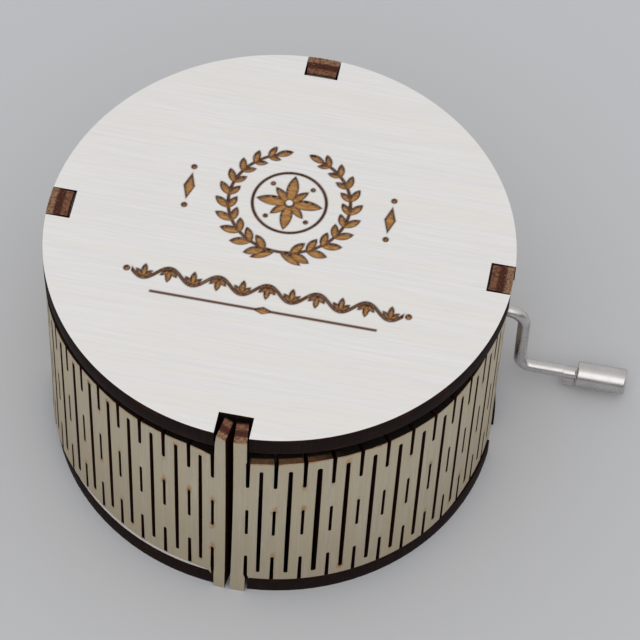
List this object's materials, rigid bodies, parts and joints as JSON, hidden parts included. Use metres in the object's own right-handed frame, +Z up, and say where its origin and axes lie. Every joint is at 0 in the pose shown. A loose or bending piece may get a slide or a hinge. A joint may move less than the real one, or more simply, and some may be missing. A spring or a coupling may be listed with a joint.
{
  "type": "hand crank music box",
  "caption": "Round plywood music box with a living-hinge wall, tabbed top and bottom discs and a bent wire hand crank that drives a pinned-cylinder movement inside.",
  "frame": {"origin": "middle of the bottom face, on the surface that the box stands on", "axes": "+Z up through the discs' centres, +X towards the side that the crank leaves, -Y towards the wall's seam"},
  "size_m": [0.1015, 0.0811, 0.0495],
  "materials": {
    "pale_ply": "bare sanded basswood plywood, burnt dark on the cut edges",
    "wall_ply": "bare basswood plywood with vertical grain, slits burnt dark",
    "nickel": "bright nickel plating",
    "steel": "plain zinc-plated steel",
    "comb_steel": "ground spring steel",
    "cast_zinc": "die-cast zinc alloy",
    "brass": "turned brass",
    "lead": "dull grey metal",
    "nylon": "natural white moulded plastic"
  },
  "bodies": {
    "box": {"bottom_disc": "pale_ply", "top_disc": "pale_ply", "flex_wall": "wall_ply", "mounting_screws": "steel", "movement_base": "cast_zinc", "front_bearing": "steel", "front_bearing_screw": "steel", "gear_bracket": "steel", "bracket_screws": "steel", "shaft_bush_inner": "nylon", "shaft_bush_outer": "nylon", "comb": "comb_steel", "comb_weights": "lead", "comb_screws": "steel"},
    "crank": {"worm": "brass", "worm_shaft": "steel", "shaft_clip": "steel", "crank_wire": "nickel"},
    "knob": {"crank_knob": "nickel"},
    "cylinder": {"cylinder_sleeve": "brass", "cylinder_pins": "steel", "front_end_cap": "nylon", "rear_end_cap": "nylon", "cylinder_arbor": "steel", "worm_wheel": "nylon"}
  },
  "joints": [
    {"name": "crank_turn", "type": "hinge", "parent": "box", "child": "crank", "pos_m": [0.0411, 0.015, 0.0191], "axis": [1, 0, 0], "continuous": true},
    {"name": "knob_spin", "type": "hinge", "parent": "crank", "child": "knob", "pos_m": [0.057, 0.015, 0.00315], "axis": [1, 0, 0], "continuous": true},
    {"name": "cylinder_turn", "type": "hinge", "parent": "box", "child": "cylinder", "pos_m": [0.01, -0.0015, 0.0116], "axis": [0, 1, 0], "continuous": true}
  ],
  "couplings": [
    {"joint": "cylinder_turn", "follows": "crank_turn", "ratio": -0.05}
  ]
}
